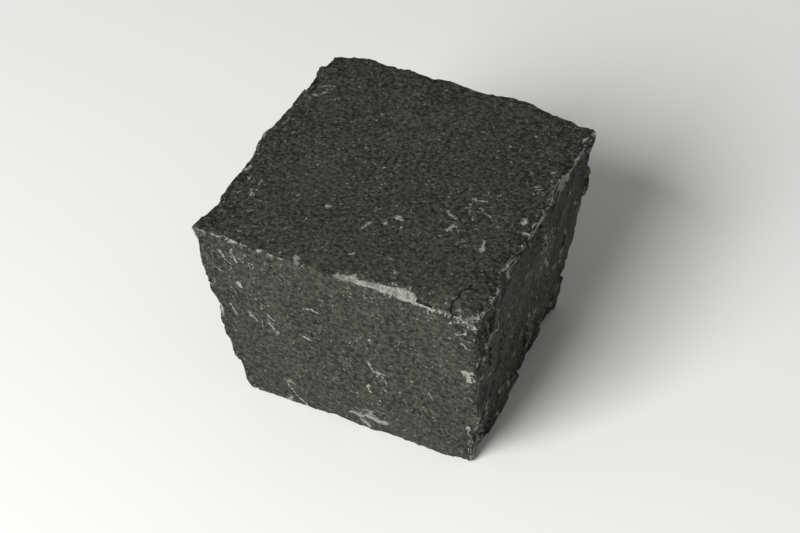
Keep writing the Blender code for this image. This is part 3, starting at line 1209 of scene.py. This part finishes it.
class Nodes:
    """A material's node tree, with a short call for each kind of node that the basalt needs."""

    def __init__(self, tree):
        self.tree = tree

    def put(self, kind, inputs=None, **settings):
        """Adds a node with its settings, and links or fills its inputs by name or number."""
        item = self.tree.nodes.new(kind)
        for name, value in settings.items():
            setattr(item, name, value)
        for key, value in (inputs or {}).items():
            if isinstance(value, bpy.types.NodeSocket):
                self.tree.links.new(value, item.inputs[key])
            else:
                item.inputs[key].default_value = value
        return item

    def maths(self, operation, *numbers):
        """The result of a sum on one, two or three numbers."""
        return self.put("ShaderNodeMath", dict(enumerate(numbers)), operation=operation).outputs[0]

    def plus(self, first, second):
        """The two numbers added up."""
        return self.maths("ADD", first, second)

    def less(self, first, second):
        """The first number less the second."""
        return self.maths("SUBTRACT", first, second)

    def times(self, first, second):
        """The two numbers multiplied."""
        return self.maths("MULTIPLY", first, second)

    def larger(self, first, second):
        """The larger of two numbers."""
        return self.maths("MAXIMUM", first, second)

    def scaled(self, number, factor, start):
        """The number times the factor, added to the start."""
        return self.maths("MULTIPLY_ADD", number, factor, start)

    def between(self, number, low, high):
        """A soft step: 0 up to the low value, 1 from the high value on."""
        inputs = {"Value": number, "From Min": low, "From Max": high}
        return self.put("ShaderNodeMapRange", inputs, interpolation_type="SMOOTHSTEP").outputs["Result"]

    def blend(self, share, first, second):
        """The first colour turning into the second as the share goes from 0 to 1."""
        inputs = {0: share, 6: first, 7: second}
        return self.put("ShaderNodeMix", inputs, data_type="RGBA").outputs[2]

    def kept(self, name):
        """One of the values kept at the stone's points."""
        return self.put("ShaderNodeAttribute", attribute_name=name).outputs["Fac"]

    def cloud(self, place, size, detail, roughness):
        """Cloudy variation about as coarse as the size, from 0 to 1."""
        inputs = {"Vector": place, "Scale": 1.0 / size, "Detail": detail, "Roughness": roughness}
        return self.put("ShaderNodeTexNoise", inputs).outputs["Fac"]

    def cells(self, place, size):
        """Cells about as wide as the size, each with one seed point."""
        return self.put("ShaderNodeTexVoronoi", {"Vector": place, "Scale": 1.0 / size})

    def cell_number(self, cell, channel):
        """A number from 0 to 1 that is the same all over a cell."""
        return self.put("ShaderNodeSeparateColor", {0: cell.outputs["Color"]}).outputs[channel]

    def vectors(self, operation, first, second, output):
        """The result of a sum on two vectors, or on a vector alone."""
        inputs = {0: first} if second is None else {0: first, 1: second}
        return self.put("ShaderNodeVectorMath", inputs, operation=operation).outputs[output]

    def warped(self, place, size, reach):
        """The place moved about by cloudy variation, so that patterns read there look irregular."""
        cloud = self.put("ShaderNodeTexNoise", {"Vector": place, "Scale": 1.0 / size, "Detail": 1.0})
        middle = self.vectors("SUBTRACT", cloud.outputs["Color"], (0.5, 0.5, 0.5), 0)
        shift = self.put("ShaderNodeVectorMath", {0: middle, "Scale": reach}, operation="SCALE")
        return self.vectors("ADD", place, shift.outputs[0], 0)


def opaque(colour):
    """A colour property as a socket takes it."""
    return (*colour, 1.0)


def grain_pattern(nodes, place, finish):
    """Mineral grain: how light each grain is, from 0 to 1."""
    fine = nodes.cloud(place, finish.grain_size, *GRAIN_CLOUD)
    crystal = nodes.cells(place, finish.grain_size * CRYSTAL_SHARE)
    tint = nodes.times(nodes.cell_number(crystal, 0), CRYSTAL_TINT)
    return nodes.times(nodes.plus(nodes.between(fine, *GRAIN_STEP), tint), GRAIN_TINT)


def fleck_pattern(nodes, place, size, rarity, spread):
    """Small separate flecks: seed points of some cells, as far out as the spread."""
    cell = nodes.cells(place, size)
    chosen = nodes.between(nodes.cell_number(cell, 1), rarity, rarity + FLECK_SOFTNESS)
    near = nodes.between(cell.outputs["Distance"], spread, spread * FLECK_CORE)
    return nodes.times(chosen, near)


def stroke_pattern(nodes, place, bruise):
    """Squiggled strokes: level lines of a cloud, broken up, and dense where the stone is bruised."""
    off_line = nodes.maths("ABSOLUTE", nodes.less(nodes.cloud(place, *STROKE_CLOUD), 0.5))
    line = nodes.between(off_line, *STROKE_LINE)
    amount = nodes.plus(nodes.cloud(place, *STROKE_BREAKS), nodes.times(bruise, STROKE_BRUISE))
    stroke = nodes.times(line, nodes.between(amount, *STROKE_STEP))
    dust = nodes.plus(nodes.cloud(place, *BRUISE_CLOUD), nodes.times(bruise, BRUISE_DUST))
    return nodes.larger(stroke, nodes.between(dust, *BRUISE_STEP))


def scratch_pattern(nodes, place):
    """The scratches, nicks and cracks: capsules about their lines, bent and frayed."""
    past = nodes.less(nodes.maths("ABSOLUTE", nodes.kept("scratch_along")), nodes.kept("scratch_half"))
    bend = nodes.less(nodes.cloud(place, *BEND_CLOUD), 0.5)
    across = nodes.plus(nodes.kept("scratch_across"), nodes.times(bend, BEND_REACH))
    gap = nodes.put("ShaderNodeCombineXYZ", {0: nodes.larger(past, 0.0), 1: across}).outputs[0]
    gap = nodes.vectors("LENGTH", gap, None, "Value")
    fray = nodes.less(nodes.cloud(place, *FRAY_CLOUD), FRAY_MIDDLE)
    scratch_share = nodes.between(nodes.kept("scratch_force"), -0.5, 0.0)
    reach = nodes.scaled(scratch_share, SCRATCH_FRAY - CRACK_FRAY, CRACK_FRAY)
    gap = nodes.plus(gap, nodes.times(fray, reach))
    share = nodes.maths("DIVIDE", gap, nodes.larger(nodes.kept("scratch_width"), THINNEST))
    return nodes.between(share, *SCRATCH_STEP)


def edge_wear(nodes, place):
    """Pale crushed stone along the edges, on plates' rims and in chips marked as crushed."""
    broken = nodes.cloud(place, *WEAR_CLOUD)
    fray = nodes.cloud(place, *WEAR_FRAY_CLOUD)
    worn = nodes.kept("worn")
    amount = nodes.plus(broken, nodes.times(worn, WEAR_AMOUNT))

    edge = nodes.plus(nodes.kept("edge_distance"), nodes.times(fray, EDGE_FRAY))
    line = nodes.times(nodes.between(edge, *EDGE_LINE), nodes.between(amount, *EDGE_STEP))

    cut = nodes.kept("cut")
    lip = nodes.less(nodes.between(cut, *LIP_START), nodes.between(cut, *LIP_END))
    lip = nodes.times(lip, nodes.maths("MINIMUM", worn, 1.0))
    lip = nodes.times(lip, nodes.between(amount, *LIP_STEP))

    rim = nodes.plus(nodes.kept("ridge_distance"), nodes.times(fray, RIM_FRAY))
    rim = nodes.times(nodes.between(rim, *RIM_LINE), nodes.kept("side"))
    rim = nodes.times(rim, nodes.between(broken, *RIM_STEP))

    powder = nodes.plus(nodes.cloud(place, *POWDER_CLOUD), nodes.times(broken, POWDER_BREAKS))
    dust = nodes.plus(nodes.times(nodes.kept("crushed"), POWDER_CRUSHED), powder)
    streak = nodes.between(nodes.cloud(place, *STREAK_CLOUD), *STREAK_STEP)
    streak = nodes.scaled(streak, STREAK_SHARE, DUST_SHARE)
    dust = nodes.times(nodes.between(dust, *POWDER_STEP), streak)
    return nodes.larger(nodes.larger(nodes.larger(line, lip), nodes.times(rim, RIM_SHARE)), dust)


def sound_stone(nodes, place, loose, grain, finish):
    """The unbroken stone's colour: grain and clouds, painted shade on the rough sides and their low
    plates, and pale flecks.
    """
    tone = nodes.plus(grain, nodes.times(nodes.cloud(place, *TONE_CLOUD), TONE_SHARE))
    side = nodes.kept("side")
    # Painted shade: on the rough sides the low plates are darker and the high ones lighter, as in shaded
    # hollows
    tone = nodes.plus(tone, nodes.times(nodes.kept("plate"), nodes.times(side, PLATE_PAINTED_SHADE)))
    # Painted shade darkens the rough sides; all the stone is also made a plain step darker
    tone = nodes.less(tone, nodes.scaled(side, SIDE_PAINTED_SHADE, ALL_SHADE))
    stone = nodes.blend(tone, opaque(finish.dark_stone), opaque(finish.light_stone))
    for pattern, strength in (SMALL_FLECKS, LARGE_FLECKS):
        flecks = nodes.times(fleck_pattern(nodes, loose, *pattern), strength)
        stone = nodes.blend(flecks, stone, opaque(finish.fleck_colour))
    return stone


def basalt_material(finish):
    """Dull dark basalt: fine grain, pale flecks, and pale crushed stone at edges and bruises."""
    material = bpy.data.materials.new("basalt")
    material.use_nodes = True
    nodes = Nodes(material.node_tree)
    shader = nodes.tree.nodes["Principled BSDF"]
    place = nodes.put("ShaderNodeTexCoord").outputs["Object"]
    loose = nodes.warped(place, WARP_SIZE, WARP_REACH)
    grain = grain_pattern(nodes, place, finish)

    pale = nodes.larger(edge_wear(nodes, place), stroke_pattern(nodes, loose, nodes.kept("bruise")))
    pale = nodes.times(pale, nodes.between(nodes.cloud(place, *PALE_CLOUD), *PALE_STEP))
    scratch = scratch_pattern(nodes, place)
    force = nodes.kept("scratch_force")
    grit = nodes.plus(nodes.cloud(place, *GRIT_CLOUD), nodes.times(force, GRIT_FORCE))
    pale = nodes.larger(pale, nodes.times(scratch, nodes.between(grit, *GRIT_STEP)))
    colour = sound_stone(nodes, place, loose, grain, finish)
    colour = nodes.blend(pale, colour, opaque(finish.crushed_colour))
    crack = nodes.times(nodes.times(scratch, force), CRACK_DARKNESS)
    colour = nodes.blend(crack, colour, opaque(finish.crack_colour))
    rough = nodes.scaled(pale, PALE_ROUGHNESS, finish.roughness)
    height = nodes.plus(grain, nodes.times(pale, PALE_HEIGHT))
    height = nodes.plus(height, nodes.times(nodes.cloud(place, *HEIGHT_CLOUD), HEIGHT_SHARE))
    relief = {"Height": height, "Distance": finish.bump_height, "Strength": 1.0}
    bump = nodes.put("ShaderNodeBump", relief)

    nodes.tree.links.new(colour, shader.inputs["Base Color"])
    nodes.tree.links.new(rough, shader.inputs["Roughness"])
    nodes.tree.links.new(bump.outputs[0], shader.inputs["Normal"])
    shader.inputs["Specular IOR Level"].default_value = finish.shine
    return material


def direction_to(azimuth, elevation):
    """The unit direction from the stone towards something at this azimuth and elevation."""
    level = math.cos(elevation)
    return Vector((math.sin(azimuth) * level, -math.cos(azimuth) * level, math.sin(elevation)))


def point_at(item, place, target):
    """Puts an object in its place, looking at the target with its top up."""
    item.location = place
    item.rotation_euler = (target - place).to_track_quat("-Z", "Y").to_euler()


class STONE_OT_make(bpy.types.Operator):
    """Makes the cobblestone in place of the plain solid"""

    bl_idname = "cobblestone.make_stone"
    bl_label = "Make Cobblestone"

    def execute(self, context):
        points, faces, point_values, patches = stone_surface(context.scene.cobblestone_shape)
        stone = mesh_object("basalt_sett", points, faces, point_values)
        flat_map = stone.data.uv_layers.new(name=MAP_NAME)
        flat_map.uv.foreach_set("vector", patches.astype(np.float32).ravel())
        stone.data.materials.append(basalt_material(context.scene.basalt_finish))
        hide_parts(NODE)
        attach(stone, "root")
        return {"FINISHED"}


class STONE_OT_stage(bpy.types.Operator):
    """Makes the floor, the camera and the lights"""

    bl_idname = "cobblestone.make_stage"
    bl_label = "Make Stage"

    def make_floor(self, context, stage):
        """A pale square of floor under the stone."""
        half = stage.floor_size / 2
        corners = np.array([(-half, -half, 0), (half, -half, 0), (half, half, 0), (-half, half, 0)])
        floor = mesh_object("floor", corners, np.array([[0, 1, 2, 3]]), {})
        material = bpy.data.materials.new("floor_paper")
        material.use_nodes = True
        shader = material.node_tree.nodes["Principled BSDF"]
        shader.inputs["Base Color"].default_value = opaque(stage.floor_colour)
        shader.inputs["Roughness"].default_value = FLOOR_ROUGHNESS
        shader.inputs["Specular IOR Level"].default_value = FLOOR_SHINE
        floor.data.materials.append(material)

    def make_lights(self, context, stage):
        """An even pale surround, and one soft panel at the front left."""
        world = bpy.data.worlds.new("studio")
        world.use_nodes = True
        background = world.node_tree.nodes["Background"]
        background.inputs["Color"].default_value = opaque(stage.floor_colour)
        background.inputs["Strength"].default_value = stage.surround_strength
        context.scene.world = world
        panel = bpy.data.lights.new("key_panel", "AREA")
        panel.shape = "SQUARE"
        panel.size = stage.key_size
        panel.energy = stage.key_power
        key = bpy.data.objects.new("key_panel", panel)
        context.scene.collection.objects.link(key)
        towards = direction_to(stage.key_azimuth, stage.key_elevation)
        aim = Vector(stage.aim)
        point_at(key, aim + towards * stage.key_distance, aim)

    def make_camera(self, context, stage):
        """The camera, held level and looking down at the stone."""
        data = bpy.data.cameras.new("camera")
        data.lens = stage.camera_lens
        data.sensor_width = SENSOR_WIDTH
        camera = bpy.data.objects.new("camera", data)
        context.scene.collection.objects.link(camera)
        aim = Vector(stage.aim)
        towards = direction_to(stage.camera_azimuth, stage.camera_elevation)
        point_at(camera, aim + towards * stage.camera_distance, aim)
        context.scene.camera = camera

    def execute(self, context):
        stage = context.scene.cobblestone_stage
        self.make_floor(context, stage)
        self.make_lights(context, stage)
        self.make_camera(context, stage)
        context.scene.view_settings.view_transform = "Standard"
        return {"FINISHED"}


class STONE_PT_panel(bpy.types.Panel):
    """Buttons that make the stone and its stage"""

    bl_idname = "STONE_PT_panel"
    bl_label = "Cobblestone"
    bl_space_type = "VIEW_3D"
    bl_region_type = "UI"
    bl_category = "Cobblestone"

    def draw(self, context):
        self.layout.operator(STONE_OT_make.bl_idname)
        self.layout.operator(STONE_OT_stage.bl_idname)


CLASSES = (CobblestoneShape, BasaltFinish, StageSettings, STONE_OT_make, STONE_OT_stage, STONE_PT_panel)


def register():
    for item in CLASSES:
        bpy.utils.register_class(item)
    bpy.types.Scene.cobblestone_shape = PointerProperty(type=CobblestoneShape)
    bpy.types.Scene.basalt_finish = PointerProperty(type=BasaltFinish)
    bpy.types.Scene.cobblestone_stage = PointerProperty(type=StageSettings)


def unregister():
    del bpy.types.Scene.cobblestone_stage
    del bpy.types.Scene.basalt_finish
    del bpy.types.Scene.cobblestone_shape
    for item in reversed(CLASSES):
        bpy.utils.unregister_class(item)


def main():
    register()
    bpy.ops.cobblestone.make_stage()
    bpy.ops.cobblestone.make_stone()


if __name__ == "__main__":
    main()
